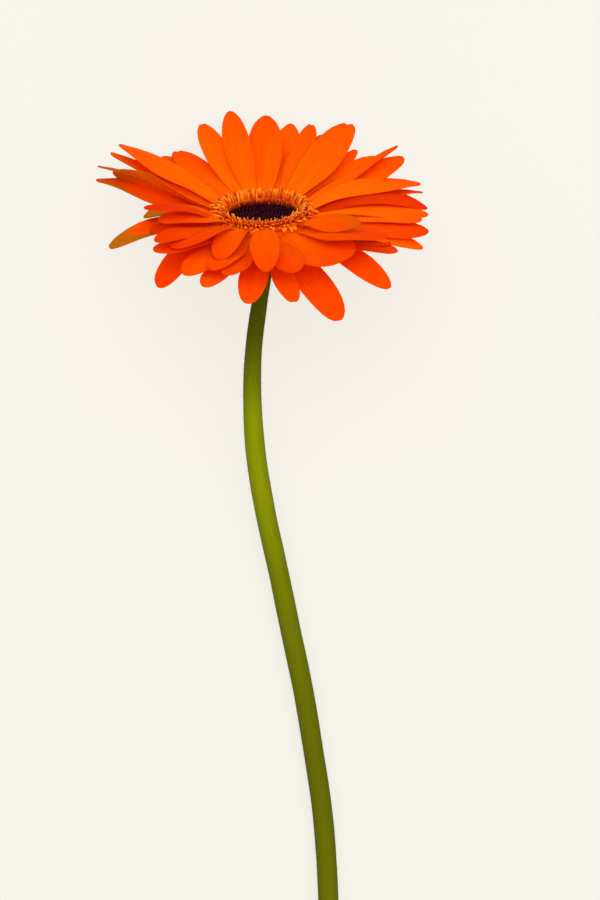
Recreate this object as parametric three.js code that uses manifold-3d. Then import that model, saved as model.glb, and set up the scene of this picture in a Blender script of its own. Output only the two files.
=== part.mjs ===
// A cut gerbera daisy laid on a table: one hairy green scape, its green involucre,
// whorls of orange ray florets, a ring of short trans florets and a dark disc of buds.
// Millimetres, +Z up. The table is z = 0 and the stem runs along -Y from the head.
import * as THREE from "three";
import { mergeVertices } from "three/addons/utils/BufferGeometryUtils.js";
import Module from "manifold-3d";

const wasm = await Module();
wasm.setup();

// ---- Driving dimensions ----
const HEAD_CENTRE = [0.9, 124.1, 47.6]; // where the head's axis meets the plane of the ray roots
const HEAD_TILT = 26; // degrees that the head's axis rises from the table
const HEAD_LEAN = 1.5; // degrees that it turns towards -X

const COLLAR = { inner: 11.8, outer: 15.2, bottom: -3.7, top: -0.1 }; // ring that the ray roots share
const RAY_ROOT = 13; // radius at which each ray starts, inside the collar
const RAY_THICKNESS = 0.7;

const TRANS_RING = { inner: 11.8, outer: 14, bottom: 0.7, top: 1.7 };
const TRANS_FLORET = { radius: 0.62, foot: 1.1, arch: 0.5 }; // foot is a height on the head's axis
const TRANS_ROWS = [
  { count: 17, foot: 12.5, tip: 11.8, height: 3 },
  { count: 18, foot: 12.9, tip: 13.6, height: 3.3 },
  { count: 19, foot: 13.2, tip: 15.9, height: 2.9 },
  { count: 20, foot: 13.4, tip: 18, height: 1.9 },
];

const DISC = { radius: 11.4, bottom: -3.9, rim: -1.1, dip: 0.8 }; // dark centre, a little hollow
const DISC_BUD = { radius: 1.1, height: 1.5, count: 52 };

const RECEPTACLE_TOP = -4.3;
const INVOLUCRE = { gap: 0.35, wall: 0.8 };
const BRACT = { width: 3.1, thickness: 0.8 };
const BRACT_ROWS = [
  { count: 14, radius: 5.0, height: -13.4, rise: 24, length: 7.5 },
  { count: 16, radius: 8.4, height: -11.6, rise: 22, length: 7.5 },
  { count: 18, radius: 11.2, height: -9.7, rise: 22, length: 6.6 },
];

const STEM_SIDES = 14;
const NECK_HEIGHT = -14; // on the head's axis, where the scape widens into the receptacle
const STEM_CUT_SLANT = 0.45; // run of the slanted cut per millimetre across the stem

// Centreline of the scape below the head, from neck to cut end: [x, y, z, diameter].
const STEM_PATH = [
  [-0.3, 96.1, 34.3, 5.3],
  [-2.4, 81.1, 28.2, 5.7],
  [-3.1, 65.9, 22.8, 6.2],
  [-2.1, 45.4, 16.7, 6.8],
  [1.1, 24.7, 11.8, 7],
  [5.6, 3.9, 8.2, 7],
  [9.9, -17.1, 5.6, 7],
  [14.3, -38.1, 4.3, 7],
  [17.8, -59, 3.6, 7],
  [20.9, -79.9, 3.44, 7],
  [22.6, -100.8, 3.44, 7],
  [23.2, -121.9, 3.44, 7],
  [22.4, -141.9, 3.44, 7],
  [20.6, -161.9, 3.44, 7],
];

// Ray florets, whorl by whorl. Azimuth 0 points at the side of the head turned up from the
// table and grows towards +X. Each row: azimuth, length, rise, width, bend, sweep, roll, cup,
// twist, in degrees and millimetres; cup is the edge's lift as a share of the half width,
// roll turns the whole strap about its midrib and twist only its outer half.
const WHORLS = [
  {
    name: "upper",
    height: -0.7,
    rays: [
      [178.6, 43.6, 22.7, 12.4, 10, -0.5, 0, 0.15, 0],
      [-166.6, 43, 27.5, 9.7, 9, -2.6, -8, 0.15, 0],
      [-156.5, 43.5, 21.4, 9.4, 6, -1.5, -8, 0.12, 0],
      [159.5, 43, 19.3, 8, 10, 4, 15, 0.15, 0],
      [146.5, 45.6, 19.7, 15.2, 6, 2, 0, 0.1, 0],
      [101, 43.8, 6.3, 13, -23, 12, 0, 0, 0],
      [70.6, 44.6, 0.8, 17.8, -6, 0, 0, -0.1, 0],
      [50, 30, 14.2, 8, 0, -4, 30, 0.25, 0],
      [33.5, 35, 0.6, 20.6, 8, 0, 14, 0, 0],
      [1, 36.8, -0.2, 9.8, -28, 0, 0, -0.1, 0],
      [-24, 30.4, 1.4, 9.6, -27, 14, 0, -0.1, 0],
      [-37, 37.4, 8.4, 12.2, -19, 4, 4, -0.1, 0],
      [-54, 30.6, 17.1, 13, -24, 0, 0, -0.1, 0],
      [-58, 35, 22.2, 12, -18, 0, 0, -0.1, 0],
      [-106.5, 41.4, 14.9, 10, -4, -3, 60, 0.1, 0],
      [-121.3, 46.4, 20.6, 12.2, -2, -0.6, 0, 0.1, 22],
      [-144.3, 39.8, 12.8, 12.6, 1, -2, 5, 0.1, 0],
    ],
  },
  {
    name: "middle",
    height: -1.8,
    rays: [
      [168, 43, 20, 10, 7, 3, 0, 0.1, 0],
      [139.5, 40, 12.8, 7, 2, 5, 8, 0.15, 0],
      [124, 45, 16.9, 7.4, 2, 1, -16, 0.2, 0],
      [116.8, 42.8, 15.9, 15, 9, 3, 2, 0.1, 0],
      [84.6, 43.2, 3.1, 15.4, -21, -1, 0, -0.1, 0],
      [77.5, 41.4, 4, 12.4, -16, 0, 0, -0.1, 0],
      [46.5, 42, 9.6, 14, -4, 0, 0, -0.1, 0],
      [13, 34.5, 0, 11, -3, -3, 0, -0.1, 0],
      [-12.8, 39.2, 1.7, 8.8, 3, 0, 0, -0.1, 0],
      [-19.5, 38, 4, 10, 0, 3, 0, -0.1, 0],
      [-29, 40.1, 0.6, 11.5, -5, 3, 0, -0.1, 0],
      [-43, 40.5, 13, 10, -14, 5, 0, -0.1, 0],
      [-78.5, 29, 10.8, 9.4, -28, 0, 4, 0.1, 0],
      [-108, 47.5, 17, 11, -8, -1, 10, 0.1, 10],
      [-118, 47.5, 18.9, 9.8, 3, 0, 12, 0.1, 0],
      [-139.5, 42, 10.8, 11, -3, -2, 0, 0.1, 0],
    ],
  },
  {
    name: "lower",
    height: -2.9,
    rays: [
      [156, 41.5, 18, 9, 6, 2, 0, 0.1, 0],
      [131, 41, 13, 10.5, 0, 4, 10, 0.1, 0],
      [102.4, 43.4, 5.8, 12, -17, 3, 4, 0, -16],
      [92.4, 44.8, 3, 13, -35, 1, 0, -0.1, -4],
      [64.7, 45.4, -1.5, 11.4, -19, 0, 0, -0.1, 0],
      [54, 40.8, 2, 12, 2, -1, 0, 0, 0],
      [46.9, 45.8, -9.4, 11.2, -9, -6.5, 0, 0.1, 0],
      [58, 36, 2, 9, 2, 0, 0, 0.1, 0],
      [25.4, 48, -16, 12.4, 0, -4.6, 0, 0.1, 0],
      [10.2, 43.5, -7, 8, 8, -1, 0, 0.1, 0],
      [-4.6, 43.9, -7, 9.6, 7, -1, 0, 0.1, 0],
      [-21.5, 41.7, -2, 9.5, 3, 4, 0, 0.1, 0],
      [-50, 41.6, -7, 11.2, -13, 29, 0, 0.1, 0],
      [-42, 40.4, 9.6, 13.4, -10, 4, 0, -0.1, 0],
      [-73.6, 42.1, -0.6, 10.6, -24, 10, -7, 0, 0],
      [-104, 46.3, 14.3, 15, -6, -2, -14, 0.1, 24],
      [163, 43.5, 0, 10, 4, 0, 0, 0.1, 0],
      [174, 42, 4, 11, 6, 0, 0, 0.1, 0],
      [-174, 42, 6, 11, 6, 0, 0, 0.1, 0],
      [-162, 44, -2, 10, 4, 0, 0, 0.1, 0],
      [-149, 42, 2, 11, 4, 0, 0, 0.1, 0],
      [-65, 28.4, 10, 12, -8, 0, 0, 0.1, 0],
    ],
  },
];
const RAY_WIDEST = 0.6; // share of the length where the strap is widest
const RAY_STATIONS = [0, 0.2, 0.4, 0.6, 0.78, 0.91, 1];
const RAY_COLUMNS = [-1, -0.36, 0.36, 1];

const colours = {
  stem: new THREE.MeshStandardMaterial({ color: 0x76820f, roughness: 0.55, metalness: 0 }),
  bracts: new THREE.MeshStandardMaterial({ color: 0x5f7420, roughness: 0.7, metalness: 0 }),
  rays: new THREE.MeshStandardMaterial({ color: 0xff5a08, roughness: 0.5, metalness: 0 }),
  trans: new THREE.MeshStandardMaterial({ color: 0xf08c1c, roughness: 0.6, metalness: 0 }),
  disc: new THREE.MeshStandardMaterial({ color: 0x2a0a16, roughness: 0.8, metalness: 0 }),
};

// ---- Helpers ----
const radians = THREE.MathUtils.degToRad;
const smooth = (x) => THREE.MathUtils.smoothstep(x, 0, 1);

// Seeded draw between 0 and 1 (mulberry32), so every build is the same.
function seededRandom(seed) {
  let state = seed;
  return () => {
    state = (state + 0x6d2b79f5) | 0;
    let t = Math.imul(state ^ (state >>> 15), 1 | state);
    t = (t + Math.imul(t ^ (t >>> 7), 61 | t)) ^ t;
    return ((t ^ (t >>> 14)) >>> 0) / 4294967296;
  };
}

function solidOf(geometry) {
  const bare = geometry.clone();
  bare.deleteAttribute("normal");
  bare.deleteAttribute("uv");
  const merged = mergeVertices(bare, 1e-4);
  return new wasm.Manifold(
    new wasm.Mesh({
      numProp: 3,
      vertProperties: new Float32Array(merged.attributes.position.array),
      triVerts: new Uint32Array(merged.index.array),
    }),
  );
}

function geometryOf(solid) {
  const mesh = solid.getMesh();
  const geometry = new THREE.BufferGeometry();
  geometry.setAttribute("position", new THREE.BufferAttribute(new Float32Array(mesh.vertProperties), 3));
  geometry.setIndex(new THREE.BufferAttribute(new Uint32Array(mesh.triVerts), 1));
  geometry.computeVertexNormals();
  return geometry;
}

const fuse = (solids) => solids.reduce((whole, solid) => whole.add(solid));

function meshOf(name, solid, material) {
  const mesh = new THREE.Mesh(geometryOf(solid), material);
  mesh.name = name;
  return mesh;
}

// Closed body from rings of points, all rings with the same number of points, capped flat.
function loft(rings) {
  const sides = rings[0].length;
  const positions = rings.flat().flatMap((p) => [p.x, p.y, p.z]);
  const index = [];
  for (let ring = 0; ring + 1 < rings.length; ring++) {
    for (let side = 0; side < sides; side++) {
      const a = ring * sides + side;
      const b = ring * sides + ((side + 1) % sides);
      index.push(a, b, b + sides, a, b + sides, a + sides);
    }
  }
  const last = (rings.length - 1) * sides;
  for (let side = 1; side + 1 < sides; side++) {
    index.push(0, side + 1, side);
    index.push(last, last + side, last + side + 1);
  }
  const geometry = new THREE.BufferGeometry();
  geometry.setAttribute("position", new THREE.Float32BufferAttribute(positions, 3));
  geometry.setIndex(index);
  return geometry;
}

// A lathe round +Z from [radius, height] pairs.
function turned(profile, sides) {
  const points = profile.map(([radius, height]) => new THREE.Vector2(radius, height));
  return new THREE.LatheGeometry(points, sides).rotateX(Math.PI / 2);
}

const washer = ({ inner, outer, bottom, top }, sides) =>
  turned([[inner, bottom], [outer, bottom], [outer, top], [inner, top], [inner, bottom]], sides);

// Direction that leaves the head's axis at an azimuth and climbs by an angle.
function heading(azimuth, climb) {
  const a = radians(azimuth);
  const c = radians(climb);
  return new THREE.Vector3(Math.sin(a) * Math.cos(c), -Math.cos(a) * Math.cos(c), Math.sin(c));
}

// Thin closed blade. centre(s) gives the midrib's point, direction and sideways vector;
// both faces are split alike, so they stay parallel.
function blade({ stations, columns, centre, halfWidth, cup, roll, thickness }) {
  const upper = [];
  const lower = [];
  for (const s of stations) {
    const { point, along, side } = centre(s);
    const normal = new THREE.Vector3().crossVectors(along, side).normalize();
    const turn = roll(s);
    const across = side.clone().applyAxisAngle(along, turn);
    const up = normal.clone().applyAxisAngle(along, turn);
    for (const v of columns) {
      const w = halfWidth(s);
      const middle = point.clone().addScaledVector(across, v * w).addScaledVector(up, cup * w * v * v);
      upper.push(middle.clone().addScaledVector(up, thickness / 2));
      lower.push(middle.clone().addScaledVector(up, -thickness / 2));
    }
  }
  const points = [...upper, ...lower];
  const wide = columns.length;
  const index = [];
  const quad = (a, b, c, d) => index.push(a, b, c, a, c, d);
  const under = upper.length;
  for (let i = 0; i + 1 < stations.length; i++) {
    for (let j = 0; j + 1 < wide; j++) {
      const a = i * wide + j;
      const [b, c, d] = [a + wide, a + wide + 1, a + 1];
      quad(a, b, c, d);
      index.push(a + under, c + under, b + under, a + under, d + under, c + under);
    }
  }
  const rim = [];
  for (let j = 0; j < wide; j++) rim.push(j);
  for (let i = 1; i < stations.length; i++) rim.push(i * wide + wide - 1);
  for (let j = wide - 2; j >= 0; j--) rim.push((stations.length - 1) * wide + j);
  for (let i = stations.length - 2; i > 0; i--) rim.push(i * wide);
  rim.forEach((a, k) => {
    const b = rim[(k + 1) % rim.length];
    quad(a, b, b + under, a + under);
  });
  const geometry = new THREE.BufferGeometry();
  geometry.setAttribute("position", new THREE.Float32BufferAttribute(points.flatMap((p) => [p.x, p.y, p.z]), 3));
  geometry.setIndex(index);
  return facingOut(geometry);
}

// Turns every triangle round if the closed geometry is inside out.
function facingOut(geometry) {
  const p = geometry.attributes.position;
  const index = geometry.index.array;
  const corner = (k) => new THREE.Vector3().fromBufferAttribute(p, index[k]);
  let volume = 0;
  for (let k = 0; k < index.length; k += 3) {
    volume += corner(k).dot(corner(k + 1).cross(corner(k + 2)));
  }
  if (volume < 0) {
    for (let k = 0; k < index.length; k += 3) [index[k + 1], index[k + 2]] = [index[k + 2], index[k + 1]];
  }
  return geometry;
}

// ---- Ray florets ----
// A strap: narrow claw, widest past the middle, blunt rounded tip.
function rayShape(s) {
  const claw = 0.4 + 0.6 * smooth(s / RAY_WIDEST);
  const tip = Math.max(0, (Math.min(s, 0.98) - RAY_WIDEST) / (1 - RAY_WIDEST));
  return claw * Math.sqrt(1 - tip ** 2);
}

function rayFloret([azimuth, length, rise, width, bend, sweep, roll, cup, twist], height) {
  const steps = 24;
  const path = [heading(azimuth, 0).multiplyScalar(RAY_ROOT).setZ(height)];
  const climbAt = (s) => rise + bend * (2 * s - 1);
  for (let i = 0; i < steps; i++) {
    const s = (i + 0.5) / steps;
    const step = heading(azimuth + sweep * s, climbAt(s)).multiplyScalar(length / steps);
    path.push(path[i].clone().add(step));
  }
  return blade({
    stations: RAY_STATIONS,
    columns: RAY_COLUMNS,
    centre: (s) => {
      const at = Math.min(s * steps, steps - 1e-6);
      const point = path[Math.floor(at)].clone().lerp(path[Math.floor(at) + 1], at % 1);
      const yaw = azimuth + sweep * s;
      return { point, along: heading(yaw, climbAt(s)), side: heading(yaw + 90, 0) };
    },
    halfWidth: (s) => rayShape(s) * width / 2,
    cup,
    roll: (s) => radians(roll * Math.min(1, 1.5 * s) + twist * smooth((s - 0.45) / 0.55)),
    thickness: RAY_THICKNESS,
  });
}

function rayFlorets(table) {
  const rays = WHORLS.flatMap(({ height, rays }) => rays.map((row) => solidOf(rayFloret(row, height))));
  return fuse([solidOf(washer(COLLAR, 40)), ...rays]).subtract(table);
}

// ---- Trans florets ----
// Short curled florets in rows on a ring, leaning outwards more the further out they stand.
function spike(azimuth, foot, tip, height) {
  const { radius, foot: footHeight, arch } = TRANS_FLORET;
  const side = heading(azimuth + 90, 0);
  const rings = [0, 0.55, 1].map((s) => {
    const middle = heading(azimuth, 0)
      .multiplyScalar(foot + (tip - foot) * s)
      .setZ(footHeight + (height - footHeight) * s + 4 * arch * s * (1 - s));
    const climb = Math.atan2(height - footHeight + 4 * arch * (1 - 2 * s), tip - foot);
    const up = new THREE.Vector3().crossVectors(heading(azimuth, THREE.MathUtils.radToDeg(climb)), side);
    const size = radius * (1 - 0.6 * s * s);
    return [90, 210, 330].map((turn) =>
      middle
        .clone()
        .addScaledVector(side, size * Math.cos(radians(turn)))
        .addScaledVector(up, size * Math.sin(radians(turn))),
    );
  });
  return facingOut(loft(rings));
}

// A floret that would touch a ray stands up more steeply, until it is clear.
function clearSpike(azimuth, { foot, tip, height }, rays) {
  for (const upright of [0, 0.3, 0.6, 0.9]) {
    const made = solidOf(spike(azimuth, foot, tip + (foot - tip) * upright, height + 1.5 * upright));
    if (made.minGap(rays, 1) > 0.25) return made;
  }
  return null;
}

function transFlorets(rays) {
  const random = seededRandom(11);
  const florets = TRANS_ROWS.flatMap((row, level) =>
    Array.from({ length: row.count }, (_, k) => {
      const azimuth = (360 * (k + 0.5 * (level % 2) + 0.35 * (random() - 0.5))) / row.count;
      const height = row.height + 0.5 * (random() - 0.5);
      return clearSpike(azimuth, { ...row, height }, rays);
    }),
  );
  return fuse([solidOf(washer(TRANS_RING, 40)), ...florets.filter(Boolean)]);
}

// ---- Disc florets ----
// Closed buds in a golden-angle spiral over a shallow dark dish.
function discFlorets() {
  const { radius, bottom, rim, dip } = DISC;
  const surface = (r) => rim - dip * (1 - (r / radius) ** 2);
  const profile = [[0, bottom], [radius, bottom]];
  for (let k = 6; k >= 0; k--) profile.push([(radius * k) / 6, surface((radius * k) / 6)]);
  const goldenAngle = 180 * (3 - Math.sqrt(5));
  const buds = [];
  for (let k = 0; k < DISC_BUD.count; k++) {
    const r = (radius - 0.9) * Math.sqrt((k + 0.5) / DISC_BUD.count);
    const bud = new THREE.ConeGeometry(DISC_BUD.radius, DISC_BUD.height + 0.6, 4).rotateX(Math.PI / 2);
    const place = heading(goldenAngle * k, 0).multiplyScalar(r).setZ(surface(r) + DISC_BUD.height / 2 - 0.3);
    buds.push(solidOf(bud.rotateZ(k).translate(place.x, place.y, place.z)));
  }
  return fuse([solidOf(turned(profile, 40)), ...buds]);
}

// ---- Involucre ----
const RECEPTACLE = [[2.7, -17], [3.3, -14.8], [5.6, -12.8], [9, -11], [12, -8.6], [13.9, -6], [14.3, RECEPTACLE_TOP]];

// A cup outside the receptacle, with three rows of narrow bracts growing out of its wall.
function involucre() {
  const { gap, wall } = INVOLUCRE;
  const outset = (by) => [
    ...RECEPTACLE.slice(1, -1).map(([radius, height]) => [radius + 0.72 * by, height - 0.72 * by]),
    [RECEPTACLE.at(-1)[0] + by, RECEPTACLE_TOP - 1.3],
  ];
  const inside = outset(gap);
  const shell = turned([[0, inside[0][1]], ...outset(gap + wall), [0, RECEPTACLE_TOP - 1.3]], 30);
  const hollow = turned([[0, -20], [inside[0][0], -20], ...inside, [inside.at(-1)[0], 0], [0, 0]], 30);
  const bracts = BRACT_ROWS.flatMap(({ count, radius, height, rise, length }, row) =>
    Array.from({ length: count }, (_, k) => {
      const azimuth = (360 * (k + 0.5 * (row % 2))) / count;
      const climb = (s) => rise + 14 * s;
      const root = heading(azimuth, 0).multiplyScalar(radius).setZ(height);
      return solidOf(blade({
        stations: [0, 0.6, 1],
        columns: [-1, 1],
        centre: (s) => ({
          point: root.clone().addScaledVector(heading(azimuth, climb(s / 2)), length * s),
          along: heading(azimuth, climb(s)),
          side: heading(azimuth + 90, 0),
        }),
        halfWidth: (s) => (BRACT.width / 2) * (1 - 0.75 * s ** 2),
        cup: 0,
        roll: () => 0,
        thickness: BRACT.thickness,
      }));
    }),
  );
  return fuse([solidOf(shell), ...bracts]).subtract(solidOf(hollow));
}

// ---- Stem with its receptacle ----
function stem(headMatrix) {
  const neck = new THREE.Vector3(0, 0, NECK_HEIGHT).applyMatrix4(headMatrix);
  const below = new THREE.Vector3(0, 0, NECK_HEIGHT - 5).applyMatrix4(headMatrix);
  const points = [neck, below, ...STEM_PATH.map(([x, y, z]) => new THREE.Vector3(x, y, z))];
  const widths = [5.2, 5.2, ...STEM_PATH.map((row) => row[3])];
  const curve = new THREE.CatmullRomCurve3(points, false, "centripetal");
  const steps = 2 * (points.length - 1);
  const rings = [];
  for (let k = 0; k <= steps; k++) {
    const t = k / steps;
    const at = t * (widths.length - 1);
    const low = Math.min(Math.floor(at), widths.length - 2);
    const radius = THREE.MathUtils.lerp(widths[low], widths[low + 1], at - low) / 2;
    const along = curve.getTangent(t);
    const side = new THREE.Vector3().crossVectors(along, new THREE.Vector3(0, 0, 1)).normalize();
    const up = new THREE.Vector3().crossVectors(side, along);
    const ring = [];
    for (let j = 0; j < STEM_SIDES; j++) {
      const turn = (2 * Math.PI * (j + 0.5)) / STEM_SIDES;
      const offset = side.clone().multiplyScalar(radius * Math.sin(turn)).addScaledVector(up, -radius * Math.cos(turn));
      const slant = k === steps ? STEM_CUT_SLANT * radius * Math.sin(turn) : 0;
      ring.push(curve.getPoint(t).add(offset).addScaledVector(along, slant));
    }
    rings.push(ring);
  }
  const receptacle = turned([[0, RECEPTACLE[0][1]], ...RECEPTACLE, [0, RECEPTACLE_TOP]], 30).applyMatrix4(headMatrix);
  return solidOf(facingOut(loft(rings))).add(solidOf(receptacle));
}

// ---- Assembly ----
const head = new THREE.Group();
head.position.fromArray(HEAD_CENTRE);
head.rotation.set(-radians(90 - HEAD_TILT), 0, radians(HEAD_LEAN), "ZXY");
head.updateMatrix();

// Everything below z = 0, in the head's own frame: what rests on it is pressed flat there.
const tableInHead = solidOf(
  new THREE.BoxGeometry(400, 400, 40).translate(0, 0, -20).applyMatrix4(head.matrix.clone().invert()),
);

const rays = rayFlorets(tableInHead);
head.add(
  meshOf("ray_florets", rays, colours.rays),
  meshOf("trans_florets", transFlorets(rays), colours.trans),
  meshOf("disc_florets", discFlorets(), colours.disc),
  meshOf("involucre", involucre(), colours.bracts),
);

const gerbera = new THREE.Group();
gerbera.add(head, meshOf("stem", stem(head.matrix), colours.stem));

export default gerbera;
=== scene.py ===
# A cut gerbera daisy lying on a pale table, dressed over its CAD frame.
# Lengths are millimetres until makePiece turns them to metres.
import math

import bpy
import numpy as np
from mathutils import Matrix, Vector


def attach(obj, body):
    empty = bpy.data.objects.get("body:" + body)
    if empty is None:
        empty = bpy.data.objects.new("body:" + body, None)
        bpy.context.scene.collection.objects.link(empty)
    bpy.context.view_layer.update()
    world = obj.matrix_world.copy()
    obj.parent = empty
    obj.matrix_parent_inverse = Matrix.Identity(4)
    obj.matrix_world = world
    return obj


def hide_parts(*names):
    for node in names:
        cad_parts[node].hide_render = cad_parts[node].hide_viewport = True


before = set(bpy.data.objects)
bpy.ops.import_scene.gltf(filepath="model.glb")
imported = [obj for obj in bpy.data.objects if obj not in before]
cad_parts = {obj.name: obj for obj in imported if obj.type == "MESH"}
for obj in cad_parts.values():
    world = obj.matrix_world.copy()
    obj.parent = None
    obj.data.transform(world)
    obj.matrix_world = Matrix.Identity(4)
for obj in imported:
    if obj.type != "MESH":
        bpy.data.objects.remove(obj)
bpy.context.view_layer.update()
draw = np.random.default_rng(26)  # one seeded draw, so every run grows the same flower

headPlace = {
    "centre": (0.9, 124.1, 47.6),  # where the head's axis meets the petal roots
    "tilt": 26,  # degrees the axis rises from the table
    "lean": 1.5,  # degrees it turns towards -X
}
pressedLift = 0.05  # petals and stem that press flat on the table stay this far above it
goldenAngle = 137.508  # degrees from one bud to the next in a flower's spiral


def smoothStep(x):
    x = np.clip(x, 0, 1)
    return x * x * (3 - 2 * x)


def heading(azimuth, climb):
    # direction in the head's frame (right, back, up) that leaves its axis at an azimuth and climbs
    a, c = np.radians(azimuth), np.radians(climb)
    return np.stack([np.sin(a) * np.cos(c), -np.cos(a) * np.cos(c), np.sin(c) + 0 * a], axis=-1)


def headToTable(points):
    turn, nod = math.radians(headPlace["lean"]), math.radians(90 - headPlace["tilt"])
    spin = np.array([[math.cos(turn), -math.sin(turn), 0], [math.sin(turn), math.cos(turn), 0], [0, 0, 1]])
    dip = np.array([[1, 0, 0], [0, math.cos(nod), math.sin(nod)], [0, -math.sin(nod), math.cos(nod)]])
    return points @ (spin @ dip).T + headPlace["centre"]


def closedBlade(top, bottom):
    # points and faces of a thin closed body between two grids of the same size
    rows, cols = top.shape[:2]
    index = np.arange(rows * cols).reshape(rows, cols)
    a, b, c, d = index[:-1, :-1], index[1:, :-1], index[1:, 1:], index[:-1, 1:]
    upper = np.stack([a, b, c, d], -1).reshape(-1, 4)
    rim = np.concatenate([index[0], index[1:, -1], index[-1, -2::-1], index[-2:0:-1, 0]])
    after, under = np.roll(rim, -1), rows * cols
    sides = np.stack([rim, after, after + under, rim + under], -1)
    faces = np.concatenate([upper, upper[:, ::-1] + under, sides])
    return np.concatenate([top.reshape(-1, 3), bottom.reshape(-1, 3)]), faces.tolist()


def loft(rings):
    # closed body through rings of points, all with the same count
    count, sides = rings.shape[:2]
    index = np.arange(count * sides).reshape(count, sides)
    after = np.roll(index, -1, axis=1)
    walls = np.stack([index[:-1], after[:-1], after[1:], index[1:]], -1).reshape(-1, 4)
    caps = [index[0, ::-1].tolist(), index[-1].tolist()]
    return rings.reshape(-1, 3), walls.tolist() + caps


def turned(profile, sides):
    # rings of points round the head's axis, one for each radius and height
    azimuth = np.linspace(0, 360, sides, endpoint=False)
    return np.stack([heading(azimuth, 0 * azimuth) * r + [0, 0, h] for r, h in profile])


def hoop(profile, sides):
    # closed body whose section is the profile, turned round the head's axis
    loops = turned(profile, sides)
    index = np.arange(len(profile) * sides).reshape(-1, sides)
    below, after = np.roll(index, -1, axis=0), np.roll(index, -1, axis=1)
    faces = np.stack([index, after, np.roll(below, -1, axis=1), below], -1).reshape(-1, 4)
    return loops.reshape(-1, 3), faces.tolist()


def midline(azimuth, climbs, length, start, sweep=0.0):
    # points along a curved line; climbs gives the slope at each step
    steps = len(climbs)
    s = (np.arange(steps) + 0.5) / steps
    ways = heading(azimuth + sweep * s, np.asarray(climbs))
    return np.vstack([start, start + np.cumsum(ways * length / steps, axis=0)])


def sampleLine(line, at):
    # places on the line at shares of its length
    t = np.clip(at, 0, 1) * (len(line) - 1)
    low = np.minimum(t.astype(int), len(line) - 2)
    share = (t - low)[..., None]
    return line[low] * (1 - share) + line[low + 1] * share


def makePiece(name, parts, material, replaced=(), inHead=True):
    # parts are (points, faces, {attribute: value for each point or one for all})
    points, faces, marks, count = [], [], {}, 0
    for partPoints, partFaces, partMarks in parts:
        points.append(partPoints)
        faces += [[k + count for k in face] for face in partFaces]
        for key, value in partMarks.items():
            marks.setdefault(key, []).append(np.broadcast_to(value, len(partPoints)))
        count += len(partPoints)
    points = np.concatenate(points)
    if inHead:
        points = headToTable(points)
    points[:, 2] = np.maximum(points[:, 2], pressedLift)
    mesh = bpy.data.meshes.new(name)
    mesh.from_pydata(points / 1000, [], faces)
    mesh.polygons.foreach_set("use_smooth", [True] * len(mesh.polygons))
    for key, values in marks.items():
        layer = mesh.attributes.new(key, "FLOAT", "POINT")
        layer.data.foreach_set("value", np.concatenate(values).astype(np.float32))
    mesh.materials.append(material)
    piece = bpy.data.objects.new(name, mesh)
    bpy.context.scene.collection.objects.link(piece)
    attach(piece, "root")
    if replaced:
        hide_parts(*replaced)
    print(name, len(mesh.vertices), "points", len(mesh.polygons), "faces")


def linear(hexColour):
    parts = [int(hexColour[k:k + 2], 16) / 255 for k in (1, 3, 5)]
    return tuple(((c + 0.055) / 1.055) ** 2.4 if c > 0.04045 else c / 12.92 for c in parts) + (1.0,)


def addNode(tree, kind, settings={}, sockets={}):
    # one node with its settings, its fixed inputs and its links; returns its outputs
    node = tree.nodes.new("ShaderNode" + kind)
    for key, value in settings.items():
        if key == "stops":
            ramp = node.color_ramp
            while len(ramp.elements) < len(value):
                ramp.elements.new(0.5)
            for stop, (place, colour) in zip(ramp.elements, value):
                stop.position, stop.color = place, linear(colour)
        else:
            setattr(node, key, value)
    for key, value in sockets.items():
        if isinstance(value, bpy.types.NodeSocket):
            tree.links.new(value, node.inputs[key])
        else:
            node.inputs[key].default_value = value
    return node.outputs


def newMaterial(name):
    material = bpy.data.materials.new(name)
    material.use_nodes = True
    material.node_tree.nodes.clear()
    return material, material.node_tree


def finishMaterial(tree, colour, height, bumpDepth, shader, glow=None):
    # principled skin with a fine relief; bumpDepth is in millimetres
    relief = addNode(tree, "Bump", {}, {"Strength": 1.0, "Distance": bumpDepth / 1000, "Height": height})
    skin = addNode(tree, "BsdfPrincipled", {}, {"Base Color": colour, "Normal": relief[0], **shader})
    if glow:
        through = addNode(tree, "BsdfTranslucent", {}, {"Color": linear(glow[1]), "Normal": relief[0]})
        skin = addNode(tree, "MixShader", {}, {0: glow[0], 1: skin[0], 2: through[0]})
    addNode(tree, "OutputMaterial", {}, {"Surface": skin[0]})


petalFinish = {
    # top of the blade from the root to the tip
    "top": [(0.0, "#FF6E00"), (0.3, "#FF6000"), (0.7, "#FF5400"), (1.0, "#FA4600")],
    "vein": "#F03C00",  # fine lengthwise veins, a little redder
    "under": "#F26208",  # duller back
    "ochre": "#B4740A",  # sunned backs and tips, orange gone ochre-brown
    "olive": "#96660C",
    "rim": "#B8440A",  # narrow darker red-brown edge
    "toneAndShadeHue": (0.488, 0.509), "toneAndShadeValue": (0.64, 1.06),  # from the deepest red petal to the brightest; the low end paints the shade on petals that lie under others or turn from the light
    "veinSpacing": 0.45, "veinLength": 20,  # mm between fine veins, and before one fades into the next
    "veinShare": 0.5,  # how far the reddest vein covers the orange
    "veinShift": 9.0,  # gives each petal veins of its own
    "mottle": 4.0,  # mm across a patch of ochre or olive
    "rimShare": 0.4,  # how far the narrow edge takes that colour
    "relief": 0.12,  # mm that the veins stand out
    "glow": (0.2, "#FF3000"),  # share of light that comes through the blade, and its red
    "shader": {"Roughness": 0.7, "IOR": 1.4, "Specular IOR Level": 0.01,
               "Subsurface Weight": 0.1, "Subsurface Scale": 0.0012, "Subsurface Radius": (1.0, 0.25, 0.08),
               # painted glow: a faint red emission that lifts the red in the shaded gaps between petals
               "Emission Color": linear("#FF1D00"), "Emission Strength": 0.05},
}


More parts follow.
